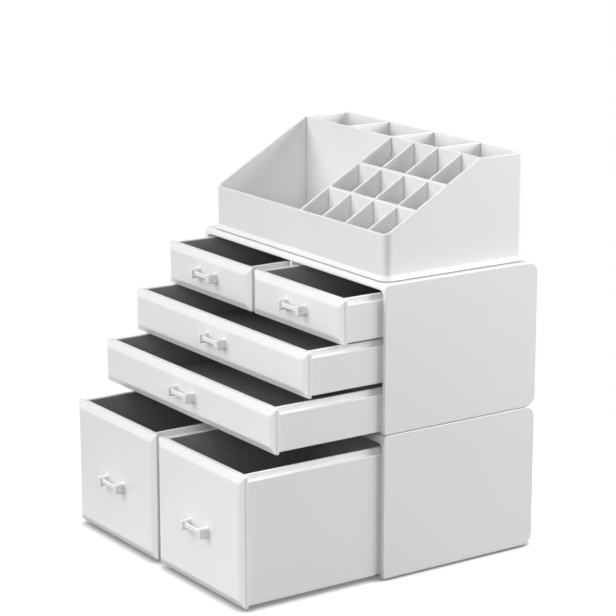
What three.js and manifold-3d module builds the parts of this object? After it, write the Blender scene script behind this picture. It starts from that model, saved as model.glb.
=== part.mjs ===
// Desktop makeup organizer: two stacked casings with six drawers, and a compartment tray on top.
// Millimetres, X to the right, Y to the back, Z up. The drawers stand part way out.
import * as THREE from 'three'
import { mergeVertices } from 'three/addons/utils/BufferGeometryUtils.js'
import Module from 'manifold-3d'

const wasm = await Module()
wasm.setup()

// Fits
const seat = 0.3 // between pieces that touch
const slip = 0.5 // beside a drawer in its casing
const overrun = 4 // how far a cut runs past a face

// Casings
const casingWidth = 238
const casingDepth = 137.5
const casingWall = 3
const casingBack = 2.6
const casingCeiling = 2.6
const casingBackRadius = 8
const casingNoseRadius = 4
const openingRadius = 4.5
const railDepth = 4
const baseHeight = 107.4
const baseFloor = 2.9
const baseRail = 6.4
const middleHeight = 109
const middleFloor = 2
const middleRail = 4.4
const stackGap = 0.6 // seam between two stacked modules
const dividerThickness = 2.4
const shelfThickness = 1.2
const ribWidth = 3.2
const ribSetback = 12

// Feet and pads
const footHeight = 1.4 // below the base casing
const footRadius = 6
const padRadius = 5
const recessDepth = 1.2
const footInset = 11 // foot centre from the casing's edges
const padInset = 16 // pad centre from the edges of the module it carries

// Drawers
const drawerWall = 2.2
const drawerFloor = 2
const ledgeWidth = 3.5
const ledgeDrop = 4.1
const ledgeThickness = 1.8
const skirtThickness = 1.5
const panelPlate = 2.6
const panelDepth = 4.5 // over the lips around the drawer's front wall
const panelLip = 2.3
const panelTongue = 1.3 // how far the top lip runs back over the drawer's front wall
const panelOverlap = 1.3 // past the drawer's sides
const panelDrop = 1.5 // below the drawer's underside
const bevelDepth = 2.3
const bevelWidth = 5.1 // seen from the front, at the sides and the bottom
const topBevelHeight = 5.7 // seen from the front
const pairGap = 6.2 // between the two drawers of a pair
const linerWall = 1
const linerDrop = 0.4 // liner edge below the drawer's rim
const largeHandleRise = 42.6 // handle axis above the drawer's bottom
const runGap = 4.6 // between the lower wide drawer and the upper one
const largeHeadroom = 3.3 // large drawers to the rail
const smallHeadroom = 2 // small drawers to the rail
const behindDrawer = 1.9 // closed drawer to the casing's back wall

// How much of each row of drawers is still inside its casing
const largeHeld = 14.8
const wideLowerHeld = 40.5
const wideUpperHeld = 67.5
const smallHeld = 97.7

// Handle
const handleWidth = 27.4
const handlePostWidth = 3.6
const handlePostHeight = 7
const handleBarHeight = 4
const handleBarDepth = 1.8
const handleReach = 7.4
const handleSetback = 1.4 // the bar behind the posts' fronts
const handleFlare = 3.2
const pegRadius = 1.6
const pegLength = 2.4

// Tray
const trayFrontInset = 3 // casing's edges to the tray's flange
const trayBackInset = 3.7
const traySideInset = 5.9
const trayFlange = 1.9 // how far it stands out at the front and sides
const trayBackFlange = 3.5
const trayFlangeHeight = 3.5
const trayFlangeEdge = 0.6 // upright part under the flange's slope
const trayWall = 2
const trayFloor = 2.4
const trayCornerRadius = 6
const trayFrontHeight = 33.4
const trayBackHeight = 79.5
const partitionThickness = 2
const binWidth = 111.4 // inside, from the left wall to the first partition
const lastColumnWidth = 19.8 // the slots along the right wall
const firstSlotDepth = 24.2
const secondSlotDepth = 25.1
const thirdSlotDepth = 28.4
const slotColumns = 4
const backRowSpan = 2 // columns that one back compartment spans

// Smoothness of round shapes
const arcSteps = 8
const roundSteps = 20
const quarterTurn = Math.PI / 2

// Worked out from the sizes above
const front = -casingDepth / 2
const back = casingDepth / 2
const innerHalf = casingWidth / 2 - casingWall
const drawerHalf = innerHalf - slip
const wideWidth = 2 * drawerHalf
const pairWidth = drawerHalf - pairGap / 2
const pairCentre = (drawerHalf + pairGap / 2) / 2
const drawerDepth = casingDepth - casingBack - behindDrawer
const largePull = drawerDepth - largeHeld
const wideLowerPull = drawerDepth - wideLowerHeld
const wideUpperPull = drawerDepth - wideUpperHeld
const smallPull = drawerDepth - smallHeld
const largeDrawerHeight = baseHeight - baseFloor - seat - largeHeadroom - baseRail
const flatDrawerHeight = (middleHeight - middleFloor - runGap - shelfThickness - 3 * seat
  - smallHeadroom - middleRail) / 3
const ledgeRise = flatDrawerHeight - ledgeDrop

const baseZ = footHeight
const middleZ = baseZ + baseHeight + stackGap
const trayZ = middleZ + middleHeight + stackGap

// Heights inside the middle casing, from its underside
const wideLowerZ = middleFloor + seat
const wideUpperZ = wideLowerZ + flatDrawerHeight + runGap
const shelfZ = wideUpperZ + flatDrawerHeight + seat
const smallZ = shelfZ + shelfThickness + seat

// Height inside the base casing, from its underside
const largeZ = baseFloor + seat

// Places inside the tray, from the casing's centre
const trayFront = front + trayFrontInset + trayFlange
const trayBack = back - trayBackInset - trayBackFlange
const trayHalf = casingWidth / 2 - traySideInset - trayFlange
const trayInnerHalf = trayHalf - trayWall
const trayInnerFront = trayFront + trayWall
const trayInnerBack = trayBack - trayWall
const firstCross = trayInnerFront + firstSlotDepth + partitionThickness / 2
const secondCross = firstCross + secondSlotDepth + partitionThickness
const tallFront = secondCross + thirdSlotDepth + partitionThickness / 2
const binEdge = -trayInnerHalf + binWidth
const binPlace = binEdge + partitionThickness / 2
const columnPitch = (trayInnerHalf - lastColumnWidth - partitionThickness / 2 - binPlace)
  / (slotColumns - 1)
const slopeTan = (trayBackHeight - trayFrontHeight) / (tallFront - trayInnerFront)

// Materials
const whitePlastic = new THREE.MeshStandardMaterial({ color: 0xe8e8e7, roughness: 0.38, metalness: 0 })
const frontPlastic = new THREE.MeshStandardMaterial({ color: 0xededec, roughness: 0.3, metalness: 0 })
const linerPlastic = new THREE.MeshStandardMaterial({ color: 0x4c4c4d, roughness: 0.75, metalness: 0 })
const padRubber = new THREE.MeshStandardMaterial({ color: 0x8f8f90, roughness: 0.9, metalness: 0 })

// Solids and cuts
function solidOf(geometry) {
  const bare = geometry.clone()
  bare.deleteAttribute('normal')
  bare.deleteAttribute('uv')
  const merged = mergeVertices(bare)
  return new wasm.Manifold(new wasm.Mesh({
    numProp: 3,
    vertProperties: new Float32Array(merged.attributes.position.array),
    triVerts: new Uint32Array(merged.index.array),
  }))
}

function geometryOf(solid) {
  const mesh = solid.getMesh()
  const geometry = new THREE.BufferGeometry()
  geometry.setAttribute('position', new THREE.BufferAttribute(mesh.vertProperties, mesh.numProp))
  geometry.setIndex(new THREE.BufferAttribute(mesh.triVerts, 1))
  const faceted = geometry.toNonIndexed()
  faceted.computeVertexNormals()
  return faceted
}

// A box between two corners
function block(x0, x1, y0, y1, z0, z1) {
  const box = new THREE.BoxGeometry(x1 - x0, y1 - y0, z1 - z0)
  box.translate((x0 + x1) / 2, (y0 + y1) / 2, (z0 + z1) / 2)
  return solidOf(box)
}

// An upright disc with its underside at z
function disc(radius, x, y, z0, z1) {
  const cylinder = new THREE.CylinderGeometry(radius, radius, z1 - z0, roundSteps)
  cylinder.rotateX(quarterTurn)
  cylinder.translate(x, y, (z0 + z1) / 2)
  return solidOf(cylinder)
}

// A pin along Y
function pin(radius, x, z, y0, y1) {
  const cylinder = new THREE.CylinderGeometry(radius, radius, y1 - y0, roundSteps)
  cylinder.translate(x, (y0 + y1) / 2, z)
  return solidOf(cylinder)
}

function extrude(shape, depth) {
  return new THREE.ExtrudeGeometry(shape, { depth, bevelEnabled: false, curveSegments: arcSteps })
}

// A shape drawn in Y and Z, run along X
function alongX(shape, x0, x1) {
  const geometry = extrude(shape, x1 - x0)
  const turn = new THREE.Matrix4().makeBasis(
    new THREE.Vector3(0, 1, 0), new THREE.Vector3(0, 0, 1), new THREE.Vector3(1, 0, 0))
  geometry.applyMatrix4(turn)
  geometry.translate(x0, 0, 0)
  return solidOf(geometry)
}

// A shape drawn in X and Z, run along Y
function alongY(shape, y0, y1) {
  const geometry = extrude(shape, y1 - y0)
  geometry.rotateX(quarterTurn)
  geometry.translate(0, y1, 0)
  return solidOf(geometry)
}

// A shape drawn in X and Y, run along Z
function alongZ(shape, z0, z1) {
  const geometry = extrude(shape, z1 - z0)
  geometry.translate(0, 0, z0)
  return solidOf(geometry)
}

function roundedRect(x0, x1, y0, y1, radius) {
  const shape = new THREE.Shape()
  shape.moveTo(x0 + radius, y0)
  shape.lineTo(x1 - radius, y0)
  shape.absarc(x1 - radius, y0 + radius, radius, -quarterTurn, 0)
  shape.lineTo(x1, y1 - radius)
  shape.absarc(x1 - radius, y1 - radius, radius, 0, quarterTurn)
  shape.lineTo(x0 + radius, y1)
  shape.absarc(x0 + radius, y1 - radius, radius, quarterTurn, 2 * quarterTurn)
  shape.lineTo(x0, y0 + radius)
  shape.absarc(x0 + radius, y0 + radius, radius, 2 * quarterTurn, 3 * quarterTurn)
  return shape
}

// Square at the bottom, rounded at the top
function archedRect(x0, x1, y0, y1, radius) {
  const shape = new THREE.Shape()
  shape.moveTo(x0, y0)
  shape.lineTo(x1, y0)
  shape.absarc(x1 - radius, y1 - radius, radius, 0, quarterTurn)
  shape.absarc(x0 + radius, y1 - radius, radius, quarterTurn, 2 * quarterTurn)
  return shape
}

function polygon(points) {
  return new THREE.Shape(points.map(([x, y]) => new THREE.Vector2(x, y)))
}

function addPiece(group, name, solid, material) {
  const mesh = new THREE.Mesh(geometryOf(solid), material)
  mesh.name = name
  group.add(mesh)
  return mesh
}

// The four corners of a rectangle, each with the name of its place
function cornerPlaces(halfX, y0, y1) {
  return [['front_left', -halfX, y0], ['front_right', halfX, y0],
    ['back_left', -halfX, y1], ['back_right', halfX, y1]]
}

// Casing: a sleeve with a closed back, rounded in side view, and a rail over its opening
function casingSolid(height, floor, rail) {
  const side = new THREE.Shape()
  side.moveTo(front, 0)
  side.lineTo(back - casingBackRadius, 0)
  side.absarc(back - casingBackRadius, casingBackRadius, casingBackRadius, -quarterTurn, 0)
  side.absarc(back - casingBackRadius, height - casingBackRadius, casingBackRadius, 0, quarterTurn)
  side.absarc(front + casingNoseRadius, height - casingNoseRadius, casingNoseRadius,
    quarterTurn, 2 * quarterTurn)
  const cavity = alongY(
    archedRect(-innerHalf, innerHalf, floor, height - casingCeiling, openingRadius),
    front + railDepth, back - casingBack)
  const opening = alongY(
    archedRect(-innerHalf, innerHalf, floor, height - rail, openingRadius),
    front - overrun, front + railDepth + overrun)
  return alongX(side, -casingWidth / 2, casingWidth / 2).subtract(cavity.add(opening))
}

// An upright wall between two paired drawers, notched under the rail
function dividerSolid(bottom, height, rail) {
  const y0 = front + seat
  const y1 = back - casingBack - seat
  const top = height - casingCeiling - seat
  const underRail = height - rail - seat
  const behindRail = front + railDepth + seat
  const profile = polygon([[y0, bottom], [y1, bottom], [y1, top], [behindRail, top],
    [behindRail, underRail], [y0, underRail]])
  return alongX(profile, -dividerThickness / 2, dividerThickness / 2)
}

// Recesses in a module's underside, and the pads that sit in them
function recesses(solid, radius, places) {
  return places.reduce((body, [, x, y]) =>
    body.subtract(disc(radius + seat, x, y, -overrun, recessDepth)), solid)
}

function addPads(group, prefix, radius, underside, places) {
  for (const [place, x, y] of places) {
    addPiece(group, prefix + '_' + place, disc(radius, x, y, -underside, recessDepth - seat), padRubber)
  }
}

// Base module
const base = new THREE.Group()
base.position.z = baseZ
const footPlaces = cornerPlaces(casingWidth / 2 - footInset, front + footInset, back - footInset)
addPiece(base, 'base_casing',
  recesses(casingSolid(baseHeight, baseFloor, baseRail), footRadius, footPlaces), whitePlastic)
addPiece(base, 'base_divider', dividerSolid(baseFloor + seat, baseHeight, baseRail), whitePlastic)
addPads(base, 'base_foot', footRadius, footHeight, footPlaces)

// Middle module: ribs on the side walls run in the drawers' ledges and carry what lies above
function withRibs(casing) {
  const ribEnd = back - casingBack
  const rows = [[wideLowerZ, wideUpperZ], [wideUpperZ, shelfZ]]
  return rows.reduce((body, [below, above]) => {
    const z0 = below + ledgeRise + slip
    const z1 = above - seat
    const y0 = front + ribSetback
    const left = block(-innerHalf - seat, -innerHalf + ribWidth, y0, ribEnd + seat, z0, z1)
    const right = block(innerHalf - ribWidth, innerHalf + seat, y0, ribEnd + seat, z0, z1)
    return body.add(left).add(right)
  }, casing)
}

const middle = new THREE.Group()
middle.position.z = middleZ
const padPlaces = cornerPlaces(casingWidth / 2 - padInset, front + padInset, back - padInset)
addPiece(middle, 'middle_casing',
  withRibs(recesses(casingSolid(middleHeight, middleFloor, middleRail), padRadius, padPlaces)),
  whitePlastic)
addPiece(middle, 'middle_shelf',
  block(-innerHalf + seat, innerHalf - seat, front + railDepth, back - casingBack - seat,
    shelfZ, shelfZ + shelfThickness), whitePlastic)
addPiece(middle, 'middle_divider',
  dividerSolid(shelfZ + shelfThickness + seat, middleHeight, middleRail)
    .subtract(block(-dividerThickness, dividerThickness, front - overrun, front + railDepth,
      shelfZ, shelfZ + shelfThickness)), whitePlastic)
addPads(middle, 'middle_pad', padRadius, stackGap - seat, padPlaces)

// Drawers, drawn from the middle of the panel's face at Y zero, with the underside at Z zero

// Body: an inner bin whose rim stands above an outside ledge, with a skirt down each side
function tubSolid(width, height) {
  const half = width / 2
  const rimHalf = half - ledgeWidth
  const binHalf = rimHalf - drawerWall
  const wallHalf = half - panelLip
  const wallFront = panelPlate + seat
  const wallTop = height - panelLip - seat
  const bodyFront = panelDepth + seat
  const binFront = panelDepth + panelTongue
  const ledgeTop = height - ledgeDrop
  const frontWall = block(-wallHalf, wallHalf, wallFront, bodyFront + drawerWall / 2, 0, wallTop)
  const skirted = block(-half, half, bodyFront, drawerDepth, 0, ledgeTop)
  const rim = block(-rimHalf, rimHalf, bodyFront, drawerDepth, 0, height)
  const underTongue = block(-binHalf, binHalf, -overrun, binFront + seat, wallTop, height + overrun)
  const bin = block(-binHalf, binHalf, binFront, drawerDepth - drawerWall, drawerFloor,
    height + overrun)
  const hollow = (x0, x1) => block(x0, x1, bodyFront + skirtThickness, drawerDepth - skirtThickness,
    -overrun, ledgeTop - ledgeThickness)
  return frontWall.add(skirted).add(rim).subtract(underTongue).subtract(bin)
    .subtract(hollow(-half + skirtThickness, -rimHalf))
    .subtract(hollow(rimHalf, half - skirtThickness))
}

// Front panel: bevelled all round, with lips around the body's front wall and a tongue over its top
function panelSolid(width, height, handleRise) {
  const half = width / 2 + panelOverlap
  const pocketHalf = width / 2 - panelLip + seat
  const tongueHalf = width / 2 - ledgeWidth - drawerWall - seat
  const plan = polygon([[-half, bevelDepth], [-half + bevelWidth, 0], [half - bevelWidth, 0],
    [half, bevelDepth], [half, panelDepth], [-half, panelDepth]])
  const side = polygon([[0, bevelWidth - panelDrop], [bevelDepth, -panelDrop],
    [panelDepth, -panelDrop], [panelDepth, height], [bevelDepth, height],
    [0, height - topBevelHeight]])
  const tongue = block(-tongueHalf, tongueHalf, panelDepth - seat, panelDepth + panelTongue,
    height - panelLip, height)
  const pocket = block(-pocketHalf, pocketHalf, panelPlate, panelDepth + overrun,
    -seat, height - panelLip)
  const holeX = (handleWidth - handlePostWidth) / 2
  const hole = (x) => pin(pegRadius + seat, x, handleRise, -overrun, panelPlate + overrun)
  return alongZ(plan, -panelDrop, height).intersect(alongX(side, -half, half)).add(tongue)
    .subtract(pocket).subtract(hole(-holeX)).subtract(hole(holeX))
}

// Bow handle: two posts and a slimmer bar, with a peg behind each post
function handleSolid(rise) {
  const half = handleWidth / 2
  const postHalf = handlePostHeight / 2
  const barHalf = handleBarHeight / 2
  const inner = half - handlePostWidth
  const corner = (postHalf - barHalf) / 2
  const bow = polygon([
    [-half, -postHalf + corner], [-half + corner, -postHalf], [-inner, -postHalf],
    [-inner + handleFlare, -barHalf], [inner - handleFlare, -barHalf], [inner, -postHalf],
    [half - corner, -postHalf], [half, -postHalf + corner],
    [half, postHalf - corner], [half - corner, postHalf], [inner, postHalf],
    [inner - handleFlare, barHalf], [-inner + handleFlare, barHalf], [-inner, postHalf],
    [-half + corner, postHalf], [-half, postHalf - corner]])
  const barFront = -handleReach + handleSetback
  const bar = alongY(bow, barFront, barFront + handleBarDepth)
  const posts = alongY(bow, -handleReach, -seat)
    .subtract(block(-inner, inner, -handleReach - overrun, 0, -handlePostHeight, handlePostHeight))
  const pegX = (handleWidth - handlePostWidth) / 2
  const peg = (x) => pin(pegRadius, x, 0, -seat - pegRadius, pegLength)
  return bar.add(posts).add(peg(-pegX)).add(peg(pegX)).translate([0, 0, rise])
}

// Liner: a thin dark tray that fills the bin up to its rim
function linerSolid(width, height) {
  const half = width / 2 - ledgeWidth - drawerWall - seat
  const y0 = panelDepth + panelTongue + seat
  const y1 = drawerDepth - drawerWall - seat
  const z0 = drawerFloor + seat
  const outer = block(-half, half, y0, y1, z0, height - linerDrop)
  const inner = block(-half + linerWall, half - linerWall, y0 + linerWall, y1 - linerWall,
    z0 + linerWall, height + overrun)
  return outer.subtract(inner)
}

function addDrawer(parent, name, width, height, x, z, pull, handleRise) {
  const drawer = new THREE.Group()
  drawer.position.set(x, front - pull, z)
  addPiece(drawer, name + '_body', tubSolid(width, height), whitePlastic)
  addPiece(drawer, name + '_front_panel', panelSolid(width, height, handleRise), frontPlastic)
  addPiece(drawer, name + '_handle', handleSolid(handleRise), frontPlastic)
  addPiece(drawer, name + '_liner', linerSolid(width, height), linerPlastic)
  parent.add(drawer)
}

const flatHandleRise = flatDrawerHeight / 2
addDrawer(base, 'large_left_drawer', pairWidth, largeDrawerHeight, -pairCentre, largeZ,
  largePull, largeHandleRise)
addDrawer(base, 'large_right_drawer', pairWidth, largeDrawerHeight, pairCentre, largeZ,
  largePull, largeHandleRise)
addDrawer(middle, 'wide_lower_drawer', wideWidth, flatDrawerHeight, 0, wideLowerZ,
  wideLowerPull, flatHandleRise)
addDrawer(middle, 'wide_upper_drawer', wideWidth, flatDrawerHeight, 0, wideUpperZ,
  wideUpperPull, flatHandleRise)
addDrawer(middle, 'small_left_drawer', pairWidth, flatDrawerHeight, -pairCentre, smallZ,
  smallPull, flatHandleRise)
addDrawer(middle, 'small_right_drawer', pairWidth, flatDrawerHeight, pairCentre, smallZ,
  smallPull, flatHandleRise)

// Tray: an open shell whose sides slope up from the low front to the tall back
const slopeHeight = (y) => trayFrontHeight + (y - trayInnerFront) * slopeTan

// Side outline of everything that stands in the tray, from its front to y1
function underSlope(y0, y1, bottom, drop) {
  const points = [[y0, bottom], [y1, bottom]]
  if (y1 > tallFront) {
    points.push([y1, trayBackHeight - drop], [tallFront, trayBackHeight - drop])
  } else {
    points.push([y1, slopeHeight(y1) - drop])
  }
  if (y0 < trayInnerFront) {
    points.push([trayInnerFront, trayFrontHeight - drop], [y0, trayFrontHeight - drop])
  } else {
    points.push([y0, slopeHeight(y0) - drop])
  }
  return polygon(points)
}

// The flange slopes from the foot of the walls down to a narrow upright edge
function flangeSolid() {
  const top = roundedRect(-trayHalf - seat, trayHalf + seat, trayFront - seat,
    trayBack + trayBackFlange - trayFlange + seat, trayCornerRadius + seat)
  const geometry = new THREE.ExtrudeGeometry(top, {
    depth: 2 * trayFlangeEdge,
    bevelSize: trayFlange - seat,
    bevelThickness: trayFlangeHeight - trayFlangeEdge,
    bevelSegments: 1,
    curveSegments: arcSteps,
  })
  geometry.translate(0, 0, -trayFlangeEdge)
  return solidOf(geometry).intersect(
    block(-casingWidth, casingWidth, -casingDepth, casingDepth, 0, trayFlangeHeight + overrun))
}

function trayShellSolid() {
  const wallPlan = roundedRect(-trayHalf, trayHalf, trayFront, trayBack, trayCornerRadius)
  const innerPlan = roundedRect(-trayInnerHalf, trayInnerHalf, trayInnerFront, trayInnerBack,
    trayCornerRadius - trayWall)
  const outline = underSlope(trayFront, trayBack, 0, 0)
  const walls = alongZ(wallPlan, 0, trayBackHeight).intersect(alongX(outline, -trayHalf, trayHalf))
  return walls.add(flangeSolid()).subtract(alongZ(innerPlan, trayFloor, trayBackHeight + overrun))
}

// Column partitions run front to back; cross partitions lap over them from above
const partitionBottom = trayFloor + seat
const crossPlaces = [firstCross, secondCross]

function columnSolid(x, lapped) {
  const plate = alongX(underSlope(trayInnerFront + seat, tallFront - seat, partitionBottom, 0),
    x - partitionThickness / 2, x + partitionThickness / 2)
  if (!lapped) return plate
  return crossPlaces.reduce((body, y) => {
    const middleZ = (partitionBottom + slopeHeight(y)) / 2
    return body.subtract(block(x - partitionThickness, x + partitionThickness,
      y - partitionThickness / 2 - seat, y + partitionThickness / 2 + seat,
      middleZ - seat / 2, trayBackHeight))
  }, plate)
}

function crossSolid(y, columns) {
  const x0 = binEdge + partitionThickness + seat
  const profile = underSlope(y - partitionThickness / 2, y + partitionThickness / 2,
    partitionBottom, 0)
  const middleZ = (partitionBottom + slopeHeight(y)) / 2
  return columns.reduce((body, x) =>
    body.subtract(block(x - partitionThickness / 2 - seat, x + partitionThickness / 2 + seat,
      y - partitionThickness, y + partitionThickness, -overrun, middleZ + seat / 2)),
  alongX(profile, x0, trayInnerHalf - seat))
}

const tray = new THREE.Group()
tray.position.z = trayZ
const trayPadPlaces = cornerPlaces(trayHalf - padInset, trayFront + padInset, trayBack - padInset)
addPiece(tray, 'tray_shell', recesses(trayShellSolid(), padRadius, trayPadPlaces), whitePlastic)
addPads(tray, 'tray_pad', padRadius, stackGap - seat, trayPadPlaces)

const columnPlaces = Array.from({ length: slotColumns - 1 }, (_, n) => binPlace + (n + 1) * columnPitch)
addPiece(tray, 'tray_bin_partition', columnSolid(binPlace, false), whitePlastic)
columnPlaces.forEach((x, n) => {
  addPiece(tray, 'tray_column_partition_' + (n + 1), columnSolid(x, true), whitePlastic)
})
crossPlaces.forEach((y, n) => {
  addPiece(tray, 'tray_cross_partition_' + (n + 1), crossSolid(y, columnPlaces), whitePlastic)
})
addPiece(tray, 'tray_tall_partition',
  block(-trayInnerHalf + seat, trayInnerHalf - seat, tallFront, tallFront + partitionThickness,
    partitionBottom, trayBackHeight), whitePlastic)
const backPlaces = [binPlace - backRowSpan * columnPitch, binPlace, binPlace + backRowSpan * columnPitch]
backPlaces.forEach((x, n) => {
  addPiece(tray, 'tray_back_partition_' + (n + 1),
    block(x - partitionThickness / 2, x + partitionThickness / 2,
      tallFront + partitionThickness + seat, trayInnerBack - seat, partitionBottom, trayBackHeight),
    whitePlastic)
})

// The origin is under the middle of the whole, from the lowest handles to the back
const organizer = new THREE.Group()
organizer.position.y = (largePull + handleReach) / 2
organizer.add(base, middle, tray)

export default organizer
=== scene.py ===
import math

import bmesh
import bpy
from mathutils import Matrix, Vector


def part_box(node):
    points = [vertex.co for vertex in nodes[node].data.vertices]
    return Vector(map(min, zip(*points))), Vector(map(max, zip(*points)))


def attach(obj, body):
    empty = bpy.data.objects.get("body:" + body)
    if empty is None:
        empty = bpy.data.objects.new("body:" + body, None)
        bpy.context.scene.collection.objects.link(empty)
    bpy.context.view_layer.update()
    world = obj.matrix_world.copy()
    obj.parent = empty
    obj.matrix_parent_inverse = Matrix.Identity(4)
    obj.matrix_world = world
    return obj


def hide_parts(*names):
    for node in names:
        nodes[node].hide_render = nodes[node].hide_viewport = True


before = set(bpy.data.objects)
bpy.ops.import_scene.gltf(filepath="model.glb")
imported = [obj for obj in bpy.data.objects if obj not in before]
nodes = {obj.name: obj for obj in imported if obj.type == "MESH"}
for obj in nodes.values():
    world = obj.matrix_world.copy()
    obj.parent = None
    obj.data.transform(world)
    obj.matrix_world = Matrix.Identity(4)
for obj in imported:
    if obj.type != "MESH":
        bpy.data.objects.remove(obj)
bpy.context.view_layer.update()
mm = 0.001
scene = bpy.context.scene
drawerNames = ["large_left_drawer", "large_right_drawer", "wide_lower_drawer", "wide_upper_drawer",
               "small_left_drawer", "small_right_drawer"]
corners = ["front_left", "front_right", "back_left", "back_right"]
print("frame loaded:", len(nodes), "nodes")

# Camera, fitted to the edges of the organizer. Here and below angles are in degrees, and lengths in
# millimetres except in the studio
cameraView = {"azimuth": 55.68, "elevation": 14.02, "roll": 0.03, "lens": 136.1, "sensor": 36,
              "place": (1390.3, -939.3, 596.2)}


def makeCamera(view):
    around, rise, roll = (math.radians(view[key]) for key in ("azimuth", "elevation", "roll"))
    back = Vector((math.sin(around) * math.cos(rise), -math.cos(around) * math.cos(rise),
                   math.sin(rise)))
    right = Vector((math.cos(around), math.sin(around), 0))
    axes = Matrix((right, back.cross(right), back)).transposed().to_4x4()
    turn = axes @ Matrix.Rotation(roll, 4, "Z")
    data = bpy.data.cameras.new("camera")
    data.lens = view["lens"]
    data.sensor_width = view["sensor"]
    camera = bpy.data.objects.new("camera", data)
    scene.collection.objects.link(camera)
    camera.matrix_world = Matrix.Translation(Vector(view["place"]) * mm) @ turn
    scene.camera = camera


makeCamera(cameraView)


# Node trees: a socket that adds its Math nodes when it is used in a sum
class Socket:
    def __init__(self, maker, socket):
        self.maker, self.socket = maker, socket

    def math(self, operation, other=0.0):
        return self.maker.math(operation, self, other)

    def __add__(self, other):
        return self.math("ADD", other)

    def __sub__(self, other):
        return self.math("SUBTRACT", other)

    def __rsub__(self, other):
        return self.maker.math("SUBTRACT", other, self)

    def __mul__(self, other):
        return self.math("MULTIPLY", other)

    def __truediv__(self, other):
        return self.math("DIVIDE", other)

    def __abs__(self):
        return self.math("ABSOLUTE")

    __radd__ = __add__
    __rmul__ = __mul__


class NodeMaker:
    def __init__(self, tree):
        self.tree = tree

    def node(self, kind, settings=None, values=None, out=0):
        made = self.tree.nodes.new(kind)
        for key, value in (settings or {}).items():
            setattr(made, key, value)
        for key, value in (values or {}).items():
            self.put(made, key, value)
        return Socket(self, made.outputs[out])

    def put(self, made, key, value):
        if isinstance(value, Socket):
            self.tree.links.new(value.socket, made.inputs[key])
        else:
            made.inputs[key].default_value = value

    def math(self, operation, first, second):
        return self.node("ShaderNodeMath", {"operation": operation}, {0: first, 1: second})


class Paint(NodeMaker):
    def __init__(self, name):
        self.material = bpy.data.materials.new(name)
        self.material.use_nodes = True
        super().__init__(self.material.node_tree)
        self.shader = self.tree.nodes["Principled BSDF"]

    def finish(self, **values):
        for key, value in values.items():
            self.put(self.shader, key.replace("_", " "), value)
        return self.material

    def noise(self, place, scale, detail, roughness=0.5):
        return self.node("ShaderNodeTexNoise", {}, {
            "Vector": place, "Scale": scale, "Detail": detail, "Roughness": roughness})

    def bump(self, height, strength, distance, under=None):
        values = {"Height": height, "Strength": strength, "Distance": distance}
        if under:
            values["Normal"] = under
        return self.node("ShaderNodeBump", {}, values)

    def blend(self, factor, first, second):
        colours = {0: factor, 6: first, 7: second}
        return self.node("ShaderNodeMix", {"data_type": "RGBA"}, colours, out=2)


# Moulded plastic: a faint mottle in the colour, a slow wave and a fine satin grain in the surface
def mouldedPlastic(name, look):
    paint = Paint(name)
    place = paint.node("ShaderNodeTexCoord", out="Object")
    mottle = paint.noise(place, look["mottleScale"], look["mottleDetail"])
    grain = paint.noise(place, look["grainScale"], look["grainDetail"], look["grainHarshness"])
    wave = paint.noise(place, look["waveScale"], look["waveDetail"])
    slow = paint.bump(wave, look["waveStrength"], look["waveDepth"] * mm)
    rough = look["roughness"] - look["polish"] + mottle * look["mottleRough"] \
        + grain * look["grainRough"]
    return paint.finish(
        Base_Color=paint.blend(mottle, look["light"] + (1,), look["dark"] + (1,)), Roughness=rough,
        Normal=paint.bump(grain, look["grainStrength"], look["grainDepth"] * mm, slow),
        IOR=look["ior"], Coat_Weight=look["coat"], Coat_Roughness=look["coatRoughness"])


casingFinish = {"light": (0.80, 0.80, 0.797), "dark": (0.78, 0.78, 0.778), "ior": 1.49,
                "coat": 0.05, "coatRoughness": 0.2, "roughness": 0.36, "polish": 0.05,
                "mottleScale": 14, "mottleDetail": 3, "mottleRough": 0.06,
                "grainScale": 1600, "grainDetail": 2, "grainHarshness": 0.6, "grainRough": 0.04,
                "grainStrength": 0.12, "grainDepth": 0.05,
                "waveScale": 22, "waveDetail": 1, "waveStrength": 0.1, "waveDepth": 0.6}
frontFinish = dict(casingFinish, light=(0.83, 0.83, 0.828), dark=(0.81, 0.81, 0.81), roughness=0.3,
                   coat=0.12)
linerFinish = dict(casingFinish, light=(0.33, 0.33, 0.334), dark=(0.23, 0.23, 0.234), roughness=0.6,
                   coat=0.0, mottleScale=450, grainScale=700, grainStrength=0.5, grainDepth=0.2,
                   waveScale=60, waveStrength=0.15, waveDepth=0.4)
padFinish = dict(linerFinish, light=(0.30, 0.30, 0.30), dark=(0.25, 0.25, 0.25), roughness=0.85,
                 grainScale=1400)
materials = {"casing": mouldedPlastic("casing_plastic", casingFinish),
             "front": mouldedPlastic("front_plastic", frontFinish),
             "liner": mouldedPlastic("liner_plastic", linerFinish),
             "pad": mouldedPlastic("pad_rubber", padFinish)}
print("materials made")


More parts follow.
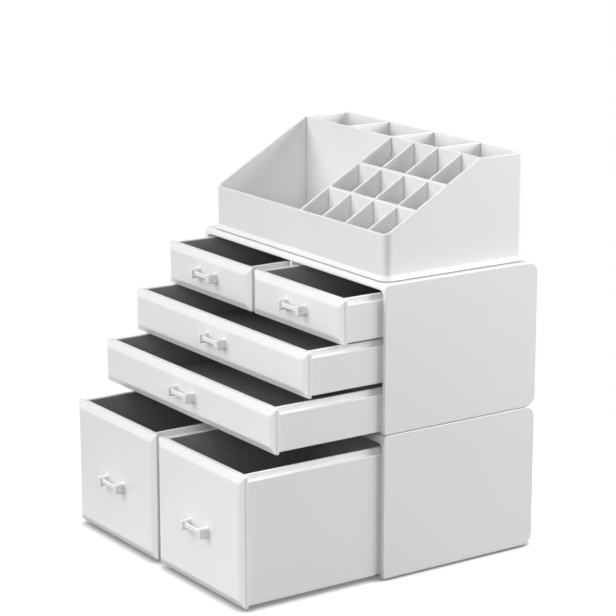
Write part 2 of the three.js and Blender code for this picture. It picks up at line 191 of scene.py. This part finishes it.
# Geometry Nodes: a tree with named sizes, whose result is kept as a plain mesh
class Form(NodeMaker):
    def __init__(self, name, slotName, sizes):
        super().__init__(bpy.data.node_groups.new(name, "GeometryNodeTree"))
        self.coating = materials[slotName]
        sockets = self.tree.interface
        sockets.new_socket("Geometry", in_out="INPUT", socket_type="NodeSocketGeometry")
        for label, kind in sizes.items():
            sockets.new_socket(label, in_out="INPUT", socket_type="NodeSocket" + kind)
        sockets.new_socket("Geometry", in_out="OUTPUT", socket_type="NodeSocketGeometry")
        self.given = self.tree.nodes.new("NodeGroupInput")

    def size(self, label):
        return Socket(self, self.given.outputs[label])

    def vector(self, x=0.0, y=0.0, z=0.0):
        return self.node("ShaderNodeCombineXYZ", {}, {0: x, 1: y, 2: z})

    def split(self, vector):
        parts = self.node("ShaderNodeSeparateXYZ", {}, {0: vector}).socket.node.outputs
        return [Socket(self, part) for part in parts]

    def close(self, geometry):
        whole = self.node("GeometryNodeRealizeInstances", {}, {0: geometry})
        coated = self.node("GeometryNodeSetMaterial", {}, {"Geometry": whole, "Material": self.coating})
        self.tree.links.new(coated.socket, self.tree.nodes.new("NodeGroupOutput").inputs[0])

    def grow(self, start, **sizes):
        seed = bpy.data.objects.new("seed", start)
        scene.collection.objects.link(seed)
        modifier = seed.modifiers.new("form", "NODES")
        modifier.node_group = self.tree
        for item in self.tree.interface.items_tree:
            if item.in_out == "INPUT" and item.name in sizes:
                modifier[item.identifier] = sizes[item.name]
        done = seed.evaluated_get(bpy.context.evaluated_depsgraph_get())
        grown = bpy.data.meshes.new_from_object(done)
        bpy.data.objects.remove(seed)
        return smoothed(grown)


def inARow(slotName):
    form = Form("in_a_row", slotName, {"count": "Int", "pitch": "Float"})
    line = form.node("GeometryNodeMeshLine", {"mode": "OFFSET"}, {
        "Count": form.size("count"), "Offset": form.vector(form.size("pitch"))})
    form.close(form.node("GeometryNodeInstanceOnPoints", {}, {
        "Points": line, "Instance": form.size("Geometry")}))
    return form


def atCorners(slotName):
    form = Form("at_corners", slotName, {"spanX": "Float", "spanY": "Float"})
    grid = form.node("GeometryNodeMeshGrid", {}, {
        "Size X": form.size("spanX"), "Size Y": form.size("spanY"), "Vertices X": 2, "Vertices Y": 2})
    form.close(form.node("GeometryNodeInstanceOnPoints", {}, {
        "Points": grid, "Instance": form.size("Geometry")}))
    return form


# Bow handle: slices along a line, small where the bar is and grown into the posts at both ends
def bowHandle(slotName, slices, edgeSteps):
    labels = ["half", "reach", "foot", "postWidth", "postHeight", "barHeight", "barDepth", "setback",
              "edge", "flare", "step"]
    form = Form("bow_handle", slotName, {label: "Float" for label in labels})
    half, reach, foot, postWidth, postHeight, barHeight, barDepth, setback, edge, flare, step = \
        map(form.size, labels)
    line = form.node("GeometryNodeMeshLine", {"mode": "OFFSET"}, {
        "Count": slices, "Start Location": form.vector(half * -1.0),
        "Offset": form.vector(half * 2.0 / (slices - 1.0))})
    path = form.node("GeometryNodeSetCurveNormal", {"mode": "Z_UP"}, {
        "Curve": form.node("GeometryNodeMeshToCurve", {}, {"Mesh": line})})
    profile = form.node("GeometryNodeFilletCurve", {"mode": "POLY"}, {
        "Curve": form.node("GeometryNodeCurvePrimitiveQuadrilateral", {}, {
            "Width": barDepth, "Height": barHeight}), "Count": edgeSteps, "Radius": edge})
    bar = form.node("GeometryNodeCurveToMesh", {}, {
        "Curve": path, "Profile Curve": profile, "Fill Caps": True})
    x, y, z = form.split(form.node("GeometryNodeInputPosition"))

    def grownFrom(start):
        return form.node("ShaderNodeMapRange", {"interpolation_type": "SMOOTHSTEP"}, {
            0: abs(x), 1: start, 2: half - postWidth + step, 3: 0.0, 4: 1.0})

    deep, tall = grownFrom(half - postWidth), grownFrom(half - postWidth - flare)
    pastEnd = (abs(x) - half + edge).math("MAXIMUM")
    tuck = edge - (edge * edge - pastEnd * pastEnd).math("MAXIMUM").math("SQRT")
    barMiddle = setback + barDepth / 2.0 - reach
    postMiddle = (foot - reach) / 2.0
    deeper = deep * (foot + reach - barDepth) / 2.0
    taller = tall * (postHeight - barHeight) / 2.0
    form.close(form.node("GeometryNodeSetPosition", {}, {"Geometry": bar, "Position": form.vector(
        x, y + barMiddle + deep * (postMiddle - barMiddle) + y.math("SIGN") * (deeper - tuck),
        z + z.math("SIGN") * (taller - tuck))}))
    return form


# Pieces
def linked(name, mesh, slotName, body, *stoodFor):
    piece = bpy.data.objects.new(name, mesh)
    mesh.materials.clear()
    mesh.materials.append(materials[slotName])
    scene.collection.objects.link(piece)
    even = piece.modifiers.new("even_normals", "WEIGHTED_NORMAL")
    even.keep_sharp = True
    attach(piece, body)
    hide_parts(*stoodFor)


# Where a mesh is welded, joined to flats, rounded and shaded smooth
meshLook = {"weld": 0.002, "flatWithin": 0.6, "roundedOver": 32, "smoothUnder": 38,
            "squareNormal": 0.9999}


# Faces square to an axis stay flat, and what rounds the edges between them is smooth
def smoothed(mesh):
    mesh.shade_smooth()
    mesh.set_sharp_from_angle(angle=math.radians(meshLook["smoothUnder"]))
    for face in mesh.polygons:
        face.use_smooth = max(abs(c) for c in face.normal) < meshLook["squareNormal"]
    return mesh


def joinFlats(bm):
    bmesh.ops.dissolve_limit(bm, angle_limit=math.radians(meshLook["flatWithin"]), verts=bm.verts,
                             edges=bm.edges)


def nodeMesh(node):
    bm = bmesh.new()
    bm.from_mesh(nodes[node].data)
    bmesh.ops.remove_doubles(bm, verts=bm.verts, dist=meshLook["weld"] * mm)
    joinFlats(bm)
    return bm


# A rounding is a radius and the number of its steps
def roundEdges(bm, rounding, chosen, sharperThan=meshLook["roundedOver"]):
    radius, steps = rounding
    edges = [e for e in bm.edges if len(e.link_faces) == 2
             and e.calc_face_angle(0) > math.radians(sharperThan) and chosen(e)]
    bmesh.ops.bevel(bm, geom=edges, offset=radius * mm, offset_type="OFFSET", segments=steps,
                    profile=0.5, affect="EDGES", clamp_overlap=False, miter_outer="ARC")


def closeUp(bm, name):
    mesh = bpy.data.meshes.new(name)
    bmesh.ops.triangulate(bm, faces=[f for f in bm.faces if len(f.verts) > 4])
    bm.to_mesh(mesh)
    bm.free()
    return smoothed(mesh)


def softMesh(node, rules, prepare=None):
    bm = nodeMesh(node)
    if prepare:
        prepare(bm)
    for rule in rules:
        roundEdges(bm, *rule)
    return closeUp(bm, node)


def soften(node, slotName, body, rules, prepare=None):
    linked("soft_" + node, softMesh(node, rules, prepare), slotName, body, node)


def outward(edge):
    return edge.is_convex


def middleOf(edge):
    return (edge.verts[0].co + edge.verts[1].co) / 2


def centreOf(node):
    low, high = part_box(node)
    return (Vector(low) + Vector(high)) / 2


# Casings
casingLook = {"side": (0.55, 4), "rim": (0.4, 3), "wall": (0.3, 2), "footing": 1.3, "within": 0.05}


def casing(node, body):
    low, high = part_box(node)
    within = casingLook["within"] * mm

    def onSide(edge):
        return all(min(v.co.x - low.x, high.x - v.co.x) < within for v in edge.verts)

    # Round the mouth, above the bottom edge
    def onRim(edge):
        return outward(edge) and all(v.co.y < low.y + within for v in edge.verts) and not onSide(edge) \
            and middleOf(edge).z > low.z + casingLook["footing"] * mm

    soften(node, "casing", body, [(casingLook["side"], onSide), (casingLook["rim"], onRim)])


casing("base_casing", "base")
casing("middle_casing", "middle")
for node, body in (("base_divider", "base"), ("middle_divider", "middle"), ("middle_shelf", "middle")):
    soften(node, "casing", body, [(casingLook["wall"], outward)])
print("casings made")

# Drawers. The body is rounded behind its front panel, and the panel where an edge starts at its face
drawerLook = {"body": (0.45, 3), "liner": (0.25, 2), "bodyBehind": 7}
panelLook = {"face": (0.7, 4), "startBefore": 2.5, "middleBefore": 4, "roundedOver": 12}
handleLook = {"postWidth": 4.2, "barHeight": 3.8, "barDepth": 1.8, "setback": 1.7, "edge": 0.85,
              "flare": 1.6, "step": 0.4, "foot": 1.2}
pegLook = {"inset": 1.8, "reach": 2.2, "wallNormal": 0.1}
handleForm = bowHandle("front", slices=141, edgeSteps=6)


def handle(drawer, faceY):
    node = drawer + "_handle"
    low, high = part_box(node)
    sizes = {key: value * mm for key, value in handleLook.items()}
    mesh = handleForm.grow(bpy.data.meshes.new("empty"), half=(high.x - low.x) / 2, reach=faceY - low.y,
                           postHeight=high.z - low.z, **sizes)
    mesh.transform(Matrix.Translation((centreOf(node).x, faceY, centreOf(node).z)))
    mesh.name = node
    linked("soft_" + node, mesh, "front", drawer, node)


# The two peg holes of a panel are hidden by the handle's posts, so its face is closed over them
def closeHoles(drawer):
    low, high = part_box(drawer + "_handle")
    inset, reach = pegLook["inset"] * mm, pegLook["reach"] * mm
    pegs = [Vector((x, (low.z + high.z) / 2)) for x in (low.x + inset, high.x - inset)]

    def close(bm):
        walls = [f for f in bm.faces if abs(f.normal.y) < pegLook["wallNormal"]
                 and all(any((v.co.xz - peg).length < reach for peg in pegs) for v in f.verts)]
        bmesh.ops.delete(bm, geom=walls, context="FACES")
        bmesh.ops.holes_fill(bm, edges=[e for e in bm.edges if e.is_boundary], sides=0)
        bmesh.ops.recalc_face_normals(bm, faces=bm.faces)
        joinFlats(bm)

    return close


def makeDrawer(drawer):
    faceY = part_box(drawer + "_front_panel")[0].y

    def behindPanel(edge):
        return outward(edge) and max(v.co.y for v in edge.verts) > faceY + drawerLook["bodyBehind"] * mm

    def onFace(edge):
        return min(v.co.y for v in edge.verts) < faceY + panelLook["startBefore"] * mm \
            and middleOf(edge).y < faceY + panelLook["middleBefore"] * mm

    soften(drawer + "_body", "casing", drawer, [(drawerLook["body"], behindPanel)])
    soften(drawer + "_front_panel", "front", drawer,
           [(panelLook["face"], onFace, panelLook["roundedOver"])], closeHoles(drawer))
    soften(drawer + "_liner", "liner", drawer, [(drawerLook["liner"], outward)])
    handle(drawer, faceY)


for drawer in drawerNames:
    makeDrawer(drawer)
print("drawers made")

# Tray. Its flange ends in a low upright edge, whose lower side is rounded more than its upper side
trayLook = {"rim": (0.45, 3), "flange": (0.15, 2), "foot": (0.4, 3), "partition": (0.35, 3),
            "edgeHeight": 0.6, "flangeHeight": 3.5, "within": 0.2}


def makeTray():
    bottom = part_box("tray_shell")[0].z

    def upTo(edge, height):
        return max(v.co.z for v in edge.verts) < bottom + (height + trayLook["within"]) * mm

    def onRim(edge):
        return outward(edge) and not upTo(edge, trayLook["flangeHeight"])

    def onFoot(edge):
        return upTo(edge, 0)

    def onFlange(edge):
        return outward(edge) and upTo(edge, trayLook["edgeHeight"]) and not onFoot(edge)

    soften("tray_shell", "casing", "tray", [
        (trayLook["rim"], onRim), (trayLook["flange"], onFlange), (trayLook["foot"], onFoot)])


makeTray()
partitionRules = [(trayLook["partition"], outward)]
for kind in ("bin_partition", "tall_partition", "cross_partition_1", "cross_partition_2"):
    soften("tray_" + kind, "casing", "tray", partitionRules)
rowForm = inARow("casing")
for kind in ("tray_column_partition_", "tray_back_partition_"):
    rank = [kind + str(number) for number in (1, 2, 3)]
    pitch = centreOf(rank[1]).x - centreOf(rank[0]).x
    linked(kind + "row", rowForm.grow(softMesh(rank[0], partitionRules), count=len(rank), pitch=pitch),
           "casing", "tray", *rank)
print("tray made")

# Feet and pads
padLook = {"sides": 48, "edge": (0.25, 2)}
cornerForm = atCorners("pad")


def pads(prefix, body):
    places = [prefix + corner for corner in corners]
    low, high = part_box(places[0])
    radius = (high.x - low.x) / 2
    bm = bmesh.new()
    bmesh.ops.create_cone(bm, cap_ends=True, segments=padLook["sides"], radius1=radius, radius2=radius,
                          depth=high.z - low.z)
    roundEdges(bm, padLook["edge"], outward)
    first, last = centreOf(places[0]), centreOf(places[-1])
    mesh = cornerForm.grow(closeUp(bm, prefix), spanX=last.x - first.x, spanY=last.y - first.y)
    mesh.transform(Matrix.Translation((first + last) / 2))
    linked(prefix + "set", mesh, "pad", body, *places)


pads("base_foot_", "base")
pads("middle_pad_", "middle")
pads("tray_pad_", "tray")
print("pads made")

# Studio, in metres: a white floor that keeps the shadow and has a painted contact shadow, a faint dome,
# two broad suns and three soft boxes. A sun is its direction, spread and strength; a box is its place,
# aim, size and power
studioLook = {"dome": 0.06, "floorSize": 12, "floorGlow": 0.7, "floorSeen": 0.9, "floorBounce": 0.06,
              # The painted contact shadow on the floor: its reach, curve, dim emission strength and
              # samples
              "shadowReach": (0.2, 0.45), "paintedShadowReach": 0.01, "paintedShadowPower": 1.6,
              "paintedShadowGlow": 0.17, "paintedShadowSamples": 16,
              "suns": {"front": ((-0.35, -0.85, 0.45), 50, 1.93),
                       "top": ((-0.17, -0.35, 1.0), 60, 1.05)},
              "boxes": {"right": ((0.45, -0.8, 0.4), (0.05, -0.1, 0.1), 0.5, 0.9),
                        "corner": ((0.9, -0.56, 0.62), (0.1, -0.05, 0.15), 0.6, 3.1),
                        "behind": ((0.75, 1.15, 0.75), (0.1, 0, 0.2), 1.0, 26.0)}}


def seenDirectly(maker):
    rays = maker.node("ShaderNodeLightPath").socket.node.outputs
    return Socket(maker, rays["Is Camera Ray"]) + Socket(maker, rays["Is Glossy Ray"]) \
        + Socket(maker, rays["Is Transmission Ray"])


def makeDome(look):
    world = bpy.data.worlds.new("studio")
    scene.world = world
    world.use_nodes = True
    sky = NodeMaker(world.node_tree)
    background = world.node_tree.nodes["Background"]
    sky.put(background, "Color", (1, 1, 1, 1))
    sky.put(background, "Strength", look["dome"] + seenDirectly(sky) * (1 - look["dome"]))


# Seen, the floor is lit near the organizer, has a painted contact shadow where something stands on
# it, and is plain white far away. For other rays it is dark grey, so that it throws little light back
def floorMaterial(look):
    paint = Paint("floor")
    bounce, bright = look["floorBounce"], look["floorSeen"]
    paint.finish(Base_Color=(bounce, bounce, bounce, 1), Roughness=1.0, Specular_IOR_Level=0.0)
    white = paint.node("ShaderNodeBsdfDiffuse", {}, {"Color": (bright, bright, bright, 1)})
    glow = paint.node("ShaderNodeEmission", {}, {"Strength": look["floorGlow"]})
    lit = paint.node("ShaderNodeAddShader", {}, {0: white, 1: glow})
    # Painted contact shadow: ambient occlusion mixes the seen floor towards a dim emission where
    # something stands on it
    paintedShadowOpenness = paint.node("ShaderNodeAmbientOcclusion", {"samples": look["paintedShadowSamples"]},
                          {"Distance": look["paintedShadowReach"]}, out="AO")
    dark = paint.node("ShaderNodeEmission", {}, {"Strength": look["paintedShadowGlow"]})
    ground = paint.node("ShaderNodeMixShader", {}, {
        0: paintedShadowOpenness.math("POWER", look["paintedShadowPower"]), 1: dark, 2: lit})
    place = paint.node("ShaderNodeTexCoord", out="Object")
    away = paint.node("ShaderNodeVectorMath", {"operation": "LENGTH"}, {0: place}, out="Value")
    near, far = look["shadowReach"]
    clear = paint.node("ShaderNodeMapRange", {"interpolation_type": "SMOOTHSTEP"}, {
        "Value": away, "From Min": near, "From Max": far})
    blank = paint.node("ShaderNodeEmission")
    seen = paint.node("ShaderNodeMixShader", {}, {0: clear, 1: ground, 2: blank})
    paint.put(paint.tree.nodes["Material Output"], "Surface", paint.node("ShaderNodeMixShader", {}, {
        0: seenDirectly(paint), 1: Socket(paint, paint.shader.outputs[0]), 2: seen}))
    return paint.material


def makeFloor(look):
    bm = bmesh.new()
    bmesh.ops.create_grid(bm, x_segments=1, y_segments=1, size=look["floorSize"])
    mesh = bpy.data.meshes.new("floor")
    bm.to_mesh(mesh)
    bm.free()
    floor = bpy.data.objects.new("floor", mesh)
    scene.collection.objects.link(floor)
    mesh.materials.append(floorMaterial(look))


def lamp(name, kind, place, aim, power):
    light = bpy.data.lights.new(name, kind)
    light.energy = power
    fitting = bpy.data.objects.new(name, light)
    scene.collection.objects.link(fitting)
    fitting.location = place
    fitting.rotation_euler = (Vector(place) - Vector(aim)).to_track_quat("Z", "Y").to_euler()
    return light


def makeLamps(look):
    for name, (direction, spread, power) in look["suns"].items():
        lamp(name, "SUN", direction, (0, 0, 0), power).angle = math.radians(spread)
    for name, (place, aim, size, power) in look["boxes"].items():
        light = lamp(name, "AREA", place, aim, power)
        light.shape, light.size = "DISK", size


makeDome(studioLook)
makeFloor(studioLook)
makeLamps(studioLook)
scene.view_settings.view_transform = "Standard"
print("studio made")
